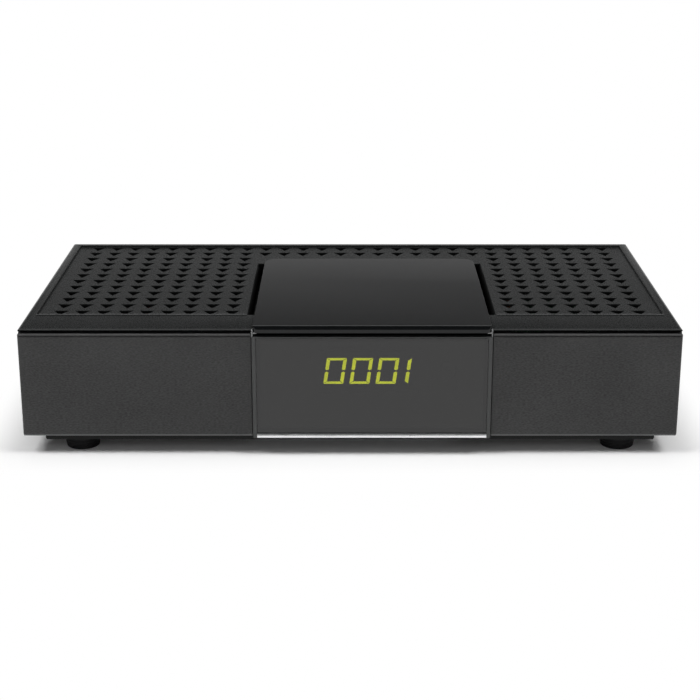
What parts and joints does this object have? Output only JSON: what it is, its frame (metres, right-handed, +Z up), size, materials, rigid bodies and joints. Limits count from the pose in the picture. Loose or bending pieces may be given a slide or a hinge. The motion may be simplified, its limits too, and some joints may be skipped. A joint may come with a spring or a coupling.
{
  "type": "cable TV receiver",
  "caption": "Low cable television receiver with triangular top vents, an off-centre gloss fascia over a smoked display window with lit digits, rubber feet and a rear panel of sockets.",
  "frame": {"origin": "on the surface it stands on, under the middle of its box", "axes": "+X to the right seen from the front, -Y out of the front panel, +Z up"},
  "size_m": [0.22, 0.1234, 0.0454],
  "materials": {
    "textured_plastic": "fine-grained moulded plastic",
    "cover_plastic": "satin moulded plastic",
    "gloss_black": "polished",
    "bezel_plastic": "semi-gloss",
    "smoked_window": "smoked clear acrylic",
    "bright_trim": "bright plated",
    "rubber": "matt",
    "black_steel": "fine matt powder coat",
    "plated_steel": "nickel plated",
    "zinc_screws": "zinc plated",
    "board_green": "solder mask",
    "chip_black": "moulded epoxy",
    "sink_aluminium": "extruded",
    "cap_sleeve": "shrunk sleeve",
    "ferrite": "matt",
    "passive_tan": "fired",
    "contact_brass": "plated",
    "insulator_white": "moulded",
    "audio_orange": "moulded",
    "socket_black": "moulded",
    "header_white": "moulded",
    "rocker_black": "moulded",
    "contact_copper": "rolled",
    "lead_red": "insulated wire",
    "ribbon_grey": "flat flexible cable",
    "led_case": "moulded",
    "lit_segment": "lit",
    "ir_lens": "dark epoxy"
  },
  "bodies": {
    "receiver": {"bottom_tray": "cover_plastic", "top_cover": "cover_plastic", "front_panel": "textured_plastic", "center_bezel": "bezel_plastic", "display_window": "smoked_window", "top_fascia": "gloss_black", "trim_strip": "bright_trim", "rear_panel": "black_steel", "foot_front_left": "rubber", "foot_front_right": "rubber", "foot_rear_left": "rubber", "foot_rear_right": "rubber", "case_screws": "zinc_screws", "main_board": "board_green", "board_screws": "zinc_screws", "processor": "chip_black", "heatsink": "sink_aluminium", "memory_chips": "chip_black", "flash_chip": "chip_black", "crystal": "plated_steel", "capacitors": "cap_sleeve", "inductors": "ferrite", "power_chips": "chip_black", "chip_passives": "passive_tan", "tuner_can": "plated_steel", "tuner_chip": "chip_black", "antenna_in_socket": "plated_steel", "antenna_in_contact": "contact_brass", "antenna_out_plug": "plated_steel", "antenna_out_pin": "contact_brass", "antenna_insulators": "insulator_white", "audio_socket": "audio_orange", "audio_barrel": "plated_steel", "audio_insulator": "socket_black", "usb_socket": "plated_steel", "usb_tongue": "header_white", "video_socket": "plated_steel", "video_tongue": "socket_black", "scart_socket": "socket_black", "scart_shield": "plated_steel", "dc_jack": "socket_black", "dc_pin": "plated_steel", "switch_body": "socket_black", "switch_terminals": "contact_brass", "switch_leads": "lead_red", "switch_header": "header_white", "display_board": "board_green", "led_display": "led_case", "led_segments": "lit_segment", "ir_receiver": "ir_lens", "display_screws": "zinc_screws", "display_socket": "header_white", "board_socket": "header_white", "display_ribbon": "ribbon_grey"},
    "rocker": {"power_rocker": "rocker_black", "switch_plunger": "zinc_screws"},
    "switch_contact": {"switch_contact": "contact_copper"}
  },
  "joints": [
    {"name": "power_switch", "type": "hinge", "parent": "receiver", "child": "rocker", "pos_m": [-0.093, 0.05316, 0.0222], "axis": [-1, 0, 0], "range_deg": [0, 22]},
    {"name": "contact_tilt", "type": "hinge", "parent": "receiver", "child": "switch_contact", "pos_m": [-0.093, 0.04296, 0.0222], "axis": [-1, 0, 0], "range_deg": [-16, 0]}
  ],
  "couplings": [
    {"joint": "contact_tilt", "follows": "power_switch", "ratio": -0.72727}
  ]
}
